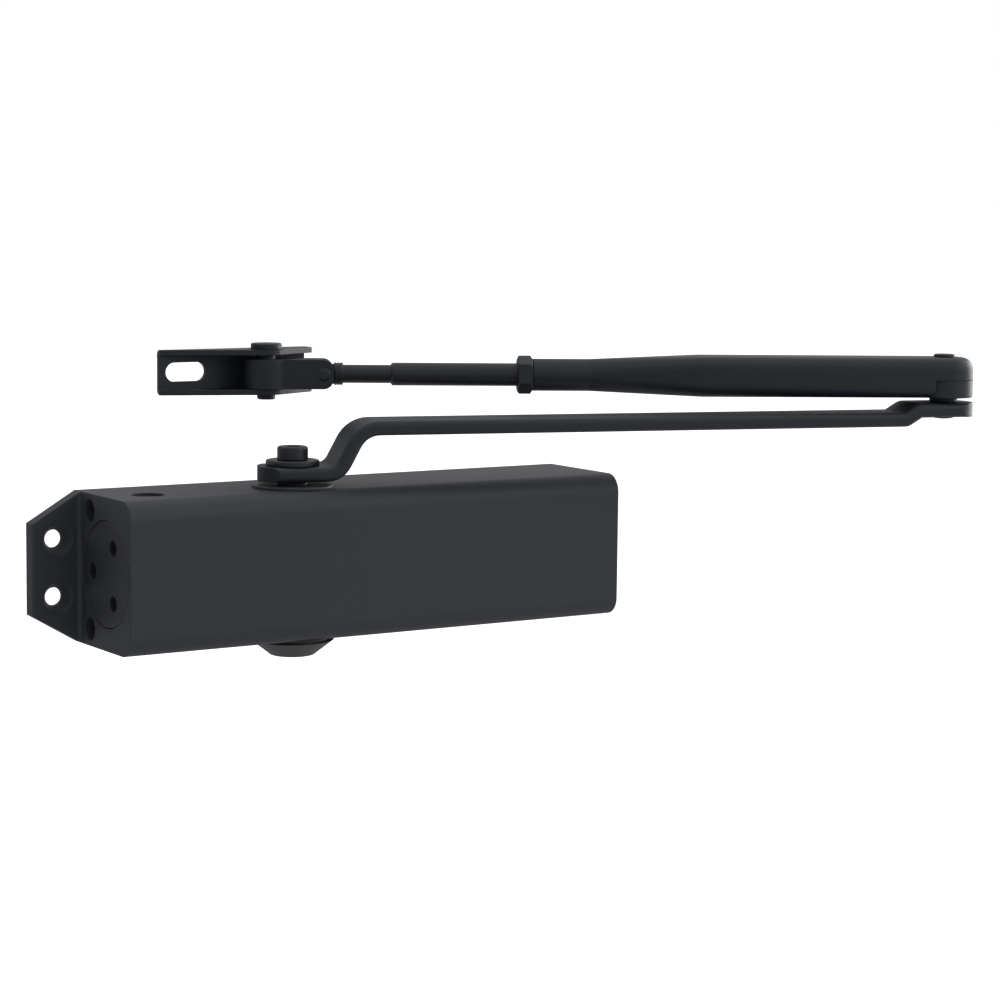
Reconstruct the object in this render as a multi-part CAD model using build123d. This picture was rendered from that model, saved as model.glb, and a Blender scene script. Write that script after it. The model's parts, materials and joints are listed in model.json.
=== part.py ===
from build123d import *
import os
from math import acos, cos, pi, radians, sin, tan

# Surface-mounted rack and pinion door closer with a regular double-lever arm.
# Millimetres. The origin is on the mounting plane, at the centre of the body's bolt pattern.
# +X runs along the body, +Y into the door behind it, +Z up.

# Body casting
body_length = 241.2
body_depth = 54.5
body_height = 64.0
edge_radius = 8.0          # both long edges of the front face
foot_length = 21.8
foot_thickness = 6.5
foot_tip_height = 38.5     # height of a foot's outer edge
foot_fillet = 2.0
bolt_spacing_x = 262.0
bolt_spacing_z = 24.4
bolt_hole_radius = 3.8
bolt_sink_radius = 6.75
bolt_land = 1.5            # straight part of each foot hole, at the back

# Cylinder, along X
cylinder_y = -31.2
bore_radius = 18.0
plug_radius = 22.45
plug_length = 15.0
plug_hole_radius = 3.35    # three holes for a pin spanner
plug_hole_circle = 13.2
plug_hole_depth = 6.0
plug_chamfer = 0.7

# Spindle, along Z
spindle_x = -33.6
spindle_y = cylinder_y
gear_module = 1.5
gear_teeth = 12
pressure_angle = 25.0
gear_width = 18.0
gear_backlash = 0.3
journal_radius = 6.5
square_side = 9.0          # driving end of the shaft
spindle_bore_radius = 14.0  # through the casting, wide enough to pass the gear
nut_radius = 17.4          # flange of the top bearing nut
nut_rise = 1.3

# Cap under the lower end of the spindle
cap_rim_radius = 17.9
cap_tip_radius = 9.3
cap_height = 8.3
cap_gap = 1.5              # the cap's rim stands this far below the body
cap_neck_radius = 15.5
cap_wall = 1.6

# Regulating valves in the left end face
valve_y = -15.1
valve_z = 24.7
valve_hole_radius = 4.9
valve_screw_radius = 4.75
valve_recess = 3.0

# Filler plug in the top face
filler_x = -101.4
filler_y = -30.5
filler_radius = 7.2
filler_recess = 1.2

# Heights of the arm pieces
hub_bottom = 34.9
arm_thickness = 6.3
washer_thickness = 2.5
screw_head_height = 5.8
bar_bottom = 54.3
paddle_bottom = 58.3

# Main arm
arm_angle = -15.8          # direction from the spindle to the elbow, about Z from +X
arm_pitch = 304.8          # spindle axis to elbow axis
arm_width = 25.4
arm_edge_radius = 2.4
hub_end_radius = 15.1
elbow_end_radius = 13.4
crank_start = 17.9         # from the spindle axis to the foot of the crank
crank_end = 28.2
joggle_start = -23.1       # measured back from the elbow axis
joggle_end = -16.4
arm_bends = [8.5, 12.5, 3.3, 3.3]   # centreline radii, from the spindle to the elbow
washer_radius = 11.5
screw_head_radius = 6.6

# Forearm
forearm_angle = 152.2      # direction from the elbow to the shoe
forearm_bottom = 66.9
forearm_height = 18.2
forearm_width = 26.4
forearm_top_radius = 5.4
forearm_lip_radius = 5.5
forearm_wall = 2.6
forearm_lip_gap = 15.0     # opening between the lips of the underside
taper_start = 113.0
taper_end = 163.5
tube_radius = 7.25
tube_end = 189.3
cut_back = 6.7             # the lower half of the shell is cut away this far past the elbow axis
knuckle_height = 8.1       # part of the knuckle that shows under the cut-out
cut_corner = 2.9           # the cut runs back at 45 degrees over its lowest part
knuckle_seam = 0.2
neck_radius = 6.4
rivet_radius = 4.0
rivet_top_radius = 4.9
rivet_bottom_radius = 5.0
rivet_head_height = 1.4

# Adjusting rod
nut_length = 6.6
nut_flats = 15.0
nut_turn = 36.0            # how the hexagon stands at rest
rod_radius = 5.15
rod_neck_radius = 4.1
rod_step = 253.2
rod_collar_start = 274.8
rod_eye_radius = 4.4
rod_collar_radius = 4.9
rod_collar_length = 4.0
rod_eye_width = 4.4

# Rod end and shoe
tilt_at = 283.3            # elbow axis to the horizontal rivet
shoe_at = 309.0            # elbow axis to the shoe pin
rod_end_height = 13.2
rod_end_barrel_radius = 10.0
rod_end_width = 13.0
tilt_rivet_radius = 2.6
tongue_tip_radius = 4.6
tongue_reach = 4.3         # the cheeks pass the tilt rivet by this much
shoe_height = 20.1
shoe_length = 72.9
shoe_standoff = 13.5       # shoe pin to the back of the shoe's web
shoe_reach_left = 47.4     # shoe pin to the left end of the web
shoe_gauge = 2.4
shoe_lift = 0.9            # the rod end sits this much below the shoe's middle
shoe_slot_length = 19.9
shoe_slot_width = 8.5
shoe_slot_spacing = 46.8
shoe_left_depth = 3.5      # flange depth at the web's left end
shoe_right_depth = 10.0
shoe_nose_radius = 8.0
shoe_corner_radius = 1.5
shoe_bend_radius = 2.4      # outer radius of the folds between web and flanges
pin_radius = 4.1
pin_head_radius = 6.9
pin_head_height = 2.6
pin_tail = 2.4

fit = 0.05                 # radial clearance of a running fit
gap = 0.35                 # clearance between parts that pass each other

# Worked out
body_end = body_length / 2
body_top = body_height / 2
plug_inner = body_end - plug_length
gear_pitch_radius = gear_module * gear_teeth / 2
gear_tip_radius = gear_pitch_radius + gear_module
gear_root_radius = gear_pitch_radius - 1.25 * gear_module
rack_travel = gear_pitch_radius * pi
hub_top = hub_bottom + arm_thickness
washer_top = hub_top + washer_thickness
paddle_top = paddle_bottom + arm_thickness
forearm_top = forearm_bottom + forearm_height
forearm_axis_z = forearm_bottom + forearm_height / 2
shoe_middle_z = forearm_axis_z + shoe_lift
shoe_web_x = shoe_length / 2 - shoe_reach_left   # middle of the web, from the pin
elbow_x = spindle_x + arm_pitch * cos(radians(arm_angle))
elbow_y = spindle_y + arm_pitch * sin(radians(arm_angle))
shoe_x = elbow_x + shoe_at * cos(radians(forearm_angle))
shoe_y = elbow_y + shoe_at * sin(radians(forearm_angle))

# The pinion's slot in the piston: the pinion stands at its right end at rest
slot_clearance = gear_tip_radius + 1.0
slot_right = spindle_x + slot_clearance
slot_left = spindle_x - slot_clearance - rack_travel
piston_head = 14.0
ring_groove = 5.0          # middle of each ring groove, from the piston's end
ring_groove_width = 2.6
ring_depth = 2.0
piston_left = slot_left - piston_head
piston_right = slot_right + piston_head
piston_radius = bore_radius - fit

# Local frames of the spindle and of the two arms, with their X along the arm
spindle_frame = Location((spindle_x, spindle_y, 0))
arm_frame = Location((spindle_x, spindle_y, 0), (0, 0, arm_angle))
forearm_frame = Location((elbow_x, elbow_y, 0), (0, 0, forearm_angle))
shoe_frame = Location((shoe_x, shoe_y, 0))
end_frames = {"left": Location((-body_end, cylinder_y, 0), (0, -90, 0)),
              "right": Location((body_end, cylinder_y, 0), (0, 90, 0))}


def save(name, shape):
    """Write one sub-part; several solids stay apart in one file."""
    solids = shape.solids()
    part = solids[0] if len(solids) == 1 else Compound(children=list(solids))
    export_step(part, f"parts/{name}.step")


def post(radius, bottom, top, x=0, y=0):
    """A cylinder along Z between two heights."""
    return Pos(x, y, bottom) * extrude(Circle(radius), top - bottom)


def ring(outer, inner, bottom, top):
    return Pos(0, 0, bottom) * extrude(Circle(outer) - Circle(inner), top - bottom)


def along_x(radius, start, end, y=0, z=0):
    """A cylinder along X between two stations."""
    return Pos(start, y, z) * extrude(Plane.YZ * Circle(radius), end - start)


def torus_seal(radius, section, height):
    return Pos(0, 0, height) * Torus(radius, section)


# ---------------------------------------------------------------- body casting

def foot(side):
    """One mounting foot: a plate whose outline tapers to its outer edge."""
    inner = side * body_end
    outer = side * (body_end + foot_length)
    outline = Polyline((inner, -body_top), (outer, -foot_tip_height / 2),
                       (outer, foot_tip_height / 2), (inner, body_top), close=True)
    plate = extrude(Plane.XZ * make_face(outline), foot_thickness)
    front_edge = plate.edges().filter_by(Axis.Z).sort_by(lambda e: (abs(e.center().X), -e.center().Y))[-1]
    plate = fillet(front_edge, 1.0)
    corner = Rectangle(foot_fillet, foot_fillet, align=Align.MIN) - Pos(foot_fillet, foot_fillet) * Circle(foot_fillet)
    web = Pos(inner, -foot_thickness, 0) * Rot(0, 0, 180 if side < 0 else -90) * extrude(
        corner, body_top, both=True)
    slope = extrude(Plane.XZ * make_face(outline), body_depth)
    return plate + (web & slope)


def foot_hole(x, z):
    sink_depth = foot_thickness - bolt_land
    straight = extrude(Plane.XZ * Circle(bolt_hole_radius), foot_thickness)
    cone = Pos(0, -foot_thickness + sink_depth / 2, 0) * Rot(90, 0, 0) * Cone(
        bolt_hole_radius, bolt_sink_radius, sink_depth)
    return Pos(x, 0, z) * (straight + cone)


def make_housing():
    profile = Pos(-body_depth / 2, 0) * Rectangle(body_depth, body_height)
    front_corners = profile.vertices().sort_by(Axis.X)[:2]
    profile = fillet(front_corners, edge_radius)
    body = Pos(-body_end, 0, 0) * extrude(Plane.YZ * profile, body_length)
    body += [foot(-1), foot(1)]
    body -= along_x(bore_radius, -body_end, body_end, cylinder_y)
    for side in (-1, 1):
        x = side * body_end
        body -= along_x(plug_radius, min(x, x - side * plug_length), max(x, x - side * plug_length), cylinder_y)
        for z in (-bolt_spacing_z / 2, bolt_spacing_z / 2):
            body -= foot_hole(side * bolt_spacing_x / 2, z)
    body -= spindle_frame * post(spindle_bore_radius, -body_top - 1, body_top + 1)
    for z in (-valve_z, valve_z):
        body -= along_x(valve_hole_radius, -body_end, -body_end + 24, valve_y, z)
    body -= post(filler_radius, body_top - 9, body_top, filler_x, filler_y)
    return body


def make_end_plug(side):
    """Screwed plug that closes the cylinder, turned with a pin spanner in its three holes."""
    plug = extrude(Circle(plug_radius), -plug_length)
    plug = chamfer(plug.edges().group_by(Axis.Z)[-1], plug_chamfer)
    plug -= Pos(0, 0, -plug_length + 3.5) * extrude(Circle(plug_radius) - Circle(plug_radius - 1.6), 2.6)
    first = 90 if side == "left" else -90
    for turn in range(3):
        angle = radians(first + 120 * turn)
        spot = Pos(plug_hole_circle * cos(angle), plug_hole_circle * sin(angle), 0)
        plug -= spot * extrude(Circle(plug_hole_radius), -plug_hole_depth)
    return end_frames[side] * plug


def make_plug_seal(side):
    return end_frames[side] * torus_seal(plug_radius - 0.85, 0.75, -plug_length + 4.8)


def make_filler_plug():
    top = body_top - filler_recess
    plug = post(filler_radius, body_top - 9, top)
    plug -= Pos(0, 0, top) * extrude(RegularPolygon(3.5, 6), -5)
    return Pos(filler_x, filler_y, 0) * plug


# ------------------------------------------------------- spindle and its fittings

def make_bearing_nut(side):
    """Threaded nut that holds a spindle bearing; the top one has a low flange with spanner holes."""
    low, high = body_top - 8, body_top
    nut = post(spindle_bore_radius, low, high)
    if side == "top":
        flange = post(nut_radius, high, high + nut_rise)
        nut += chamfer(flange.edges().group_by(Axis.Z)[-1], 0.4)
        for angle in (35, 125, 215, 305):
            spot = Rot(0, 0, angle) * Pos(nut_radius - 2.2, 0, high + nut_rise)
            nut -= spot * extrude(Circle(1.2), -3)
        high += nut_rise
    nut -= post(journal_radius + 0.6, low, high)
    nut -= post(journal_radius + 3.2, low, low + 4.5)
    return spindle_frame * (nut if side == "top" else mirror(nut, Plane.XY))


def make_spindle_seal(side):
    seal = ring(journal_radius + 3.2, journal_radius + fit, body_top - 8, body_top - 3.5)
    return spindle_frame * (seal if side == "top" else mirror(seal, Plane.XY))


def make_bearing(side):
    """Plain bearing bush between the gear and the nut."""
    bearing = ring(spindle_bore_radius, journal_radius + fit, body_top - 14, body_top - 8)
    return spindle_frame * (bearing if side == "top" else mirror(bearing, Plane.XY))


def make_spindle_cap():
    """Shallow cone that covers the lower end of the spindle."""
    rim = -body_top - cap_gap
    tip = -body_top - cap_height
    shell = Pos(0, 0, (rim + tip) / 2) * Cone(cap_tip_radius, cap_rim_radius, rim - tip)
    shell = fillet(shell.edges().group_by(Axis.Z)[0], 2.0)
    shell += post(cap_neck_radius, rim, -body_top)
    shell -= post(spindle_bore_radius - 2, rim - cap_wall, -body_top)
    shell -= post(cap_tip_radius - 1.0, tip + cap_wall, -body_top)
    return spindle_frame * shell


def gear_tooth_half_angle(radius):
    """Half of a tooth's angle at a radius, on an involute flank."""
    involute = lambda a: tan(a) - a
    base = gear_pitch_radius * cos(radians(pressure_angle))
    at_pitch = (pi / 2 - gear_backlash / gear_module / 2) / gear_teeth
    at_radius = acos(min(1.0, base / radius))
    return at_pitch + involute(radians(pressure_angle)) - involute(at_radius)


def gear_profile():
    """Pinion outline, one tooth centred on +Y."""
    base = gear_pitch_radius * cos(radians(pressure_angle))
    radii = [base + (gear_tip_radius - base) * step / 3 for step in range(4)]
    tooth_side = [(r, gear_tooth_half_angle(r)) for r in radii]
    points = [(gear_root_radius, tooth_side[0][1]), *tooth_side]
    right = [(r * sin(a), r * cos(a)) for r, a in points]
    left = [(-x, y) for x, y in reversed(right)]
    tooth = make_face(Polyline(*right, *left, close=True))
    teeth = [Rot(0, 0, 360 * turn / gear_teeth) * tooth for turn in range(gear_teeth)]
    return Circle(gear_root_radius) + teeth


def make_pinion():
    """Shaft with the pinion cut in its middle and a square on each end."""
    shaft = post(journal_radius, -body_top + 2, hub_bottom - 1)
    shaft += Pos(0, 0, -gear_width / 2) * extrude(gear_profile(), gear_width)
    square = Rot(0, 0, arm_angle) * Rectangle(square_side, square_side)
    shaft += Pos(0, 0, hub_bottom - 1) * extrude(square, arm_thickness + 0.4)
    shaft += Pos(0, 0, -body_top + 2) * extrude(square, -5)
    shaft -= post(3.0, hub_top - 16, hub_top)
    return spindle_frame * shaft


def rack_face():
    """Outline of the rack that the pinion drives, on the front side of the slot."""
    pitch = pi * gear_module
    flank = tan(radians(pressure_angle))
    pitch_line = gear_pitch_radius
    tip = pitch_line - gear_module * 0.9
    root = pitch_line + gear_module * 1.25
    half = pitch / 4 - gear_backlash / 4
    count = int((rack_travel + 2 * slot_clearance) / pitch)
    first = -int((rack_travel + slot_clearance - 3) / pitch) - 0.5
    points = [(slot_left - spindle_x - 1, bore_radius + 1), (slot_left - spindle_x - 1, root)]
    for number in range(count):
        middle = (first + number) * pitch
        if middle + pitch / 2 > slot_clearance:
            break
        reach = half + (root - pitch_line) * flank
        crest = half - (pitch_line - tip) * flank
        points += [(middle - reach, root), (middle - crest, tip), (middle + crest, tip), (middle + reach, root)]
    points += [(slot_clearance + 1, root), (slot_clearance + 1, bore_radius + 1)]
    return make_face(Polyline(*[(x, -y) for x, y in points], close=True))


def make_piston():
    """Piston with a slot for the pinion and a rack along one side of the slot."""
    piston = along_x(piston_radius, piston_left, piston_right, cylinder_y)
    slot_middle = (slot_left + slot_right) / 2
    slot_size = slot_right - slot_left
    slot_side = gear_tip_radius + 0.8
    cut = Pos(slot_middle, cylinder_y, 0) * Box(slot_size, 2 * slot_side, 2 * bore_radius)
    groove_height = gear_width + 3
    cut += Pos(slot_middle, cylinder_y - slot_side, 0) * Box(slot_size, 2 * slot_side, groove_height)
    piston -= cut
    rack = Pos(spindle_x, spindle_y, -groove_height / 2) * extrude(rack_face(), groove_height)
    rack &= along_x(piston_radius, slot_left, slot_right, cylinder_y)
    piston += rack
    for station in (piston_left + ring_groove, piston_right - ring_groove):
        start = station - ring_groove_width / 2
        end = station + ring_groove_width / 2
        piston -= along_x(piston_radius, start, end, cylinder_y) - along_x(
            piston_radius - ring_depth, start, end, cylinder_y)
    piston -= along_x(4.0, piston_left, piston_left + 9, cylinder_y)
    piston -= along_x(1.5, piston_left + 9, slot_left, cylinder_y)
    return piston


def make_piston_ring(station):
    band = Plane.YZ * (Circle(piston_radius) - Circle(piston_radius - ring_depth))
    return Pos(station - ring_groove_width / 2 + 0.1, cylinder_y, 0) * extrude(band, ring_groove_width - 0.2)


def make_check_ball():
    return Pos(piston_left + 5.0, cylinder_y, 0) * Sphere(3.2)


def make_check_seat():
    """Perforated disc that keeps the check ball in the piston."""
    disc = along_x(4.0, piston_left, piston_left + 1.2, cylinder_y)
    return disc - along_x(1.4, piston_left, piston_left + 1.2, cylinder_y)


def make_spring():
    """Closing spring between the piston and the right end plug, with flattened last coils."""
    wire, mean_radius, coils = 2.3, 12.6, 13
    start = piston_right + wire + 0.1
    length = plug_inner - wire - 0.1 - start
    helix = Helix(length / coils, length, mean_radius)
    section = Plane(origin=helix @ 0, z_dir=helix % 0) * Circle(wire)
    coil = sweep(section, path=helix, is_frenet=True)
    return Pos(start, cylinder_y, 0) * Rot(0, 90, 0) * coil


def make_valve_screw(z):
    """Regulating screw with a slotted head, set back in the end face."""
    head = -body_end + valve_recess
    screw = along_x(valve_screw_radius, head, head + 6)
    screw += along_x(3.0, head + 6, head + 16)
    tip = Pos(head + 18.5, 0, 0) * Rot(0, 90, 0) * Cone(3.0, 0.8, 5)
    screw += tip
    screw -= Pos(head, 0, 0) * Box(3.0, 2 * valve_screw_radius, 1.4)
    return Pos(0, valve_y, z) * screw


def make_valve_seal(z):
    seat = Pos(-body_end + valve_recess + 8, valve_y, z)
    return seat * Rot(0, 90, 0) * torus_seal(3.95, 0.9, 0)


# ----------------------------------------------------------------- main arm

def arm_side_line():
    """Centreline of the main arm seen from the side, as (distance, height)."""
    low = hub_bottom + arm_thickness / 2
    bar = bar_bottom + arm_thickness / 2
    paddle = paddle_bottom + arm_thickness / 2
    return FilletPolyline((-hub_end_radius - 2, low), (crank_start, low), (crank_end, bar),
                          (arm_pitch + joggle_start, bar), (arm_pitch + joggle_end, paddle),
                          (arm_pitch + elbow_end_radius + 2, paddle), radius=arm_bends)


def make_main_arm():
    """Flat bar with rounded long edges, cranked up from the spindle and joggled at the elbow."""
    line = Plane.XZ * arm_side_line()
    across = Plane(origin=line @ 0, x_dir=(0, 1, 0), z_dir=line % 0)
    section = across * RectangleRounded(arm_width, arm_thickness, arm_edge_radius)
    bar = sweep(section, path=line)
    outline = Circle(hub_end_radius) + Pos(arm_pitch, 0) * Circle(elbow_end_radius)
    outline += Pos(arm_pitch / 2, 0) * Rectangle(arm_pitch, 2 * hub_end_radius)
    bar &= extrude(outline, paddle_top + 5)
    square = Rectangle(square_side + 2 * fit, square_side + 2 * fit)
    bar -= extrude(square, hub_top + 1)
    bar -= post(rivet_radius, bar_bottom, paddle_top + 1, arm_pitch)
    return arm_frame * bar


def make_arm_washer():
    washer = ring(washer_radius, 3.2, hub_top, washer_top)
    washer = fillet(washer.edges().filter_by(GeomType.CIRCLE).sort_by(SortBy.RADIUS)[-2:], 0.7)
    return spindle_frame * washer


def make_arm_screw():
    head = post(screw_head_radius, washer_top, washer_top + screw_head_height)
    head = fillet(head.edges().group_by(Axis.Z)[-1], 1.1)
    head -= Pos(0, 0, washer_top + screw_head_height) * extrude(RegularPolygon(3.4, 6), -3.6)
    return spindle_frame * (head + post(2.95, hub_top - 14, washer_top))


def make_elbow_rivet():
    """Rivet fixed in the main arm; the forearm turns on it."""
    shank = post(rivet_radius, paddle_bottom, forearm_top)
    top_head = post(rivet_top_radius, forearm_top + gap / 2, forearm_top + rivet_head_height)
    bottom_head = post(rivet_bottom_radius, paddle_bottom - rivet_head_height, paddle_bottom)
    heads = fillet(top_head.edges().group_by(Axis.Z)[-1], 0.5)
    heads += fillet(bottom_head.edges().group_by(Axis.Z)[0], 0.5)
    return arm_frame * Pos(arm_pitch, 0, 0) * (shank + heads + post(rivet_radius, forearm_top, forearm_top + 1))


# ------------------------------------------------------------------ forearm

def channel_section(width, height, top_radius, lip_radius):
    """Outer section of the forearm channel: a box rounded more at its top than at its bottom."""
    box = Rectangle(width, height)
    box = fillet(box.vertices().group_by(Axis.Y)[-1], top_radius)
    return fillet(box.vertices().group_by(Axis.Y)[0], lip_radius)


def section_at(distance, face):
    """Stand a section upright across the forearm, with its own Y pointing up."""
    upright = Plane(origin=(distance, 0, forearm_axis_z), x_dir=(0, 1, 0), z_dir=(1, 0, 0))
    return upright * face


def cut_side(clear):
    """Space of the knuckle under the elbow end, from the side; its lowest corner runs back."""
    right = cut_back - clear
    top = knuckle_height - clear
    side = Polygon((-forearm_width, -1), (right + cut_corner + 1, -1), (right, cut_corner),
                   (right, top), (-forearm_width, top), align=None)
    return Pos(0, 0, forearm_bottom) * extrude(Plane.XZ * side, forearm_width, both=True)


def make_forearm():
    """Channel that rounds off at the elbow and tapers into the tube for the rod."""
    full = channel_section(forearm_width, forearm_height, forearm_top_radius, forearm_lip_radius)
    channel = extrude(section_at(0, full), taper_start)
    nose = Pos(0, 0, forearm_bottom) * extrude(Circle(forearm_width / 2), forearm_height)
    nose = fillet(nose.edges().group_by(Axis.Z)[-1], forearm_top_radius)
    nose = fillet(nose.edges().group_by(Axis.Z)[0], forearm_lip_radius)
    tube_square = RectangleRounded(2 * tube_radius, 2 * tube_radius, tube_radius - 0.2)
    taper = loft([section_at(taper_start, channel_section(
        forearm_width, forearm_height, forearm_top_radius, forearm_lip_radius)),
        section_at(taper_end, tube_square)])
    tube = extrude(section_at(taper_end, Circle(tube_radius)), tube_end - taper_end)
    shell = channel + nose + taper + tube
    hollow_width = forearm_width - 2 * forearm_wall
    hollow_height = forearm_height - 2 * forearm_wall
    hollow = RectangleRounded(hollow_width, hollow_height, 2.5)
    shell -= extrude(section_at(0, hollow), taper_start)
    shell -= Pos(0, 0, forearm_bottom + forearm_wall) * extrude(Circle(hollow_width / 2), hollow_height)
    shell -= Pos(taper_start / 2, 0, forearm_bottom) * Box(
        taper_start, forearm_lip_gap, 3 * forearm_wall)
    shell -= extrude(section_at(taper_start - 5, Circle(rod_radius + 0.1)), tube_end)
    # the lower half of the elbow end is open for the knuckle
    shell -= cut_side(0)
    shell -= post(rivet_radius + fit, forearm_bottom, forearm_top + 1)
    return forearm_frame * shell


def make_knuckle():
    """Bearing block under the elbow end of the forearm, with the boss that stands on the arm."""
    lower = post(forearm_width / 2, forearm_bottom, forearm_bottom + knuckle_height)
    lower = fillet(lower.edges().group_by(Axis.Z)[0], 0.8) & cut_side(knuckle_seam)
    core_width = forearm_width - 2 * (forearm_wall + knuckle_seam / 2)
    lower += post(core_width / 2, forearm_bottom + knuckle_height - knuckle_seam, forearm_top - forearm_wall)
    boss = post(neck_radius, paddle_top + gap, forearm_bottom)
    knuckle = lower + boss
    return forearm_frame * (knuckle - post(rivet_radius + 1.0, paddle_top, forearm_top))


def make_elbow_bush():
    """Plain bush pressed in the knuckle, running on the rivet."""
    return forearm_frame * ring(rivet_radius + 1.0, rivet_radius + fit,
                                paddle_top + gap, forearm_top - forearm_wall)


def make_lock_nut():
    """Hexagonal nut that clamps the adjusting rod in the forearm's tube."""
    hexagon = Rot(0, 0, nut_turn) * RegularPolygon(nut_flats / 2, 6, major_radius=False)
    nut = extrude(section_at(tube_end + 0.3, hexagon - Circle(rod_radius + fit)), nut_length)
    return forearm_frame * nut


def make_rod():
    """Adjusting rod: a long stem in the tube, a thinner neck and a flat eye."""
    stem = extrude(section_at(130, Circle(rod_radius)), rod_step - 130)
    neck = extrude(section_at(rod_step, Circle(rod_neck_radius)), rod_collar_start - rod_step)
    collar = extrude(section_at(rod_collar_start, Circle(rod_collar_radius)), rod_collar_length)
    stem = chamfer(stem.edges().group_by(Axis.X)[-1], 0.7)
    eye_half = rod_eye_width / 2
    blade = Pos((rod_collar_start + rod_collar_length + tilt_at) / 2, 0, forearm_axis_z) * Box(
        tilt_at - rod_collar_start - rod_collar_length, 2 * eye_half, 2 * rod_eye_radius)
    eye = Pos(tilt_at, eye_half, forearm_axis_z) * extrude(Plane.XZ * Circle(rod_eye_radius), 2 * eye_half)
    rod = stem + neck + collar + blade + eye
    rod -= Pos(tilt_at, eye_half, forearm_axis_z) * extrude(
        Plane.XZ * Circle(tilt_rivet_radius + fit), 2 * eye_half)
    return forearm_frame * rod


# ------------------------------------------------------------ rod end and shoe

def make_rod_end():
    """Knuckle on the shoe pin with two cheeks that hold the rod's eye."""
    half_height = rod_end_height / 2
    low = forearm_axis_z - half_height
    barrel = Circle(rod_end_barrel_radius)
    tongue_start, tongue_end = tilt_at - tongue_reach, shoe_at
    tongue = Pos((tongue_start + tongue_end) / 2 - shoe_at, 0) * Rectangle(
        tongue_end - tongue_start, rod_end_width)
    body = Pos(shoe_at, 0, low) * extrude(barrel + tongue, rod_end_height)
    tip = body.edges().filter_by(Axis.Y).sort_by(Axis.X)[:2]
    body = fillet(tip, tongue_tip_radius)
    slot = Pos(tilt_at, 0, forearm_axis_z) * Box(15.0, rod_eye_width + 0.6, rod_end_height + 2)
    body -= slot
    body -= Pos(tilt_at, rod_end_width, forearm_axis_z) * extrude(
        Plane.XZ * Circle(tilt_rivet_radius), 2 * rod_end_width)
    body -= post(pin_radius + fit, low - 1, forearm_top, shoe_at)
    return forearm_frame * body


def make_tilt_rivet():
    reach = rod_end_width / 2
    shank = Pos(0, reach + 0.6, 0) * extrude(Plane.XZ * Circle(tilt_rivet_radius), rod_end_width + 1.2)
    shank = fillet(shank.edges().filter_by(GeomType.CIRCLE), 0.5)
    return forearm_frame * Pos(tilt_at, 0, forearm_axis_z) * shank


def flange_outline():
    """Plan of a shoe flange: broad at the pin and tapering to the ends of the web."""
    left = -shoe_reach_left
    right = left + shoe_length
    back = shoe_standoff
    nose = Circle(shoe_nose_radius)
    left_tip = Line((left, back - shoe_left_depth), (left, back))
    right_tip = Line((right, back - shoe_right_depth), (right, back))
    wing = make_hull([*nose.edges(), left_tip, right_tip])
    corner = wing.vertices().sort_by(lambda v: (v.X - right) ** 2 + (v.Y - back + shoe_right_depth) ** 2)[0]
    return fillet(corner, shoe_corner_radius)


def make_shoe():
    """Bracket folded from plate: a slotted web with two flanges that carry the pin."""
    low = shoe_middle_z - shoe_height / 2
    high = low + shoe_height
    web = Pos(shoe_web_x, shoe_standoff - shoe_gauge / 2, low + shoe_height / 2) * Box(
        shoe_length, shoe_gauge, shoe_height)
    shoe = web
    for bottom in (low, high - shoe_gauge):
        shoe += Pos(0, 0, bottom) * extrude(flange_outline(), shoe_gauge)
    folds = shoe.edges().filter_by(Axis.X).group_by(Axis.Y)[-1]
    shoe = fillet(folds, shoe_bend_radius)
    for x in (-shoe_slot_spacing / 2, shoe_slot_spacing / 2):
        slot = Plane.XZ * SlotOverall(shoe_slot_length, shoe_slot_width)
        shoe -= Pos(shoe_web_x + x, shoe_standoff + 1, shoe_middle_z) * extrude(slot, shoe_gauge + 2)
    shoe -= post(pin_radius, low - 1, high + 1)
    return shoe_frame * shoe


def make_shoe_pin():
    low = shoe_middle_z - shoe_height / 2 - pin_tail
    high = shoe_middle_z + shoe_height / 2
    head = fillet(post(pin_head_radius, high, high + pin_head_height).edges().group_by(Axis.Z)[-1], 0.5)
    return shoe_frame * (post(pin_radius, low, high) + head)


# ------------------------------------------------------------------- output

os.makedirs("parts", exist_ok=True)
parts = {
    "housing": make_housing(),
    "filler_plug": make_filler_plug(),
    "spindle_cap": make_spindle_cap(),
    "pinion_shaft": make_pinion(),
    "piston": make_piston(),
    "check_ball": make_check_ball(),
    "check_ball_seat": make_check_seat(),
    "closing_spring": make_spring(),
    "main_arm": make_main_arm(),
    "arm_washer": make_arm_washer(),
    "arm_screw": make_arm_screw(),
    "elbow_rivet": make_elbow_rivet(),
    "forearm": make_forearm(),
    "elbow_knuckle": make_knuckle(),
    "elbow_bush": make_elbow_bush(),
    "lock_nut": make_lock_nut(),
    "adjusting_rod": make_rod(),
    "rod_end": make_rod_end(),
    "tilt_rivet": make_tilt_rivet(),
    "shoe": make_shoe(),
    "shoe_pin": make_shoe_pin(),
    "piston_ring_left": make_piston_ring(piston_left + ring_groove),
    "piston_ring_right": make_piston_ring(piston_right - ring_groove),
}
for side in ("left", "right"):
    parts[f"end_plug_{side}"] = make_end_plug(side)
    parts[f"end_plug_seal_{side}"] = make_plug_seal(side)
for side in ("top", "bottom"):
    parts[f"bearing_nut_{side}"] = make_bearing_nut(side)
    parts[f"spindle_bearing_{side}"] = make_bearing(side)
    parts[f"spindle_seal_{side}"] = make_spindle_seal(side)
for name, z in (("sweep", valve_z), ("latch", -valve_z)):
    parts[f"{name}_valve"] = make_valve_screw(z)
    parts[f"{name}_valve_seal"] = make_valve_seal(z)
for name, shape in parts.items():
    save(name, shape)
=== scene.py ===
import bmesh
import bpy
import json
from math import atan2, cos, pi, radians, sin, tan
from mathutils import Matrix, Vector


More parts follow.
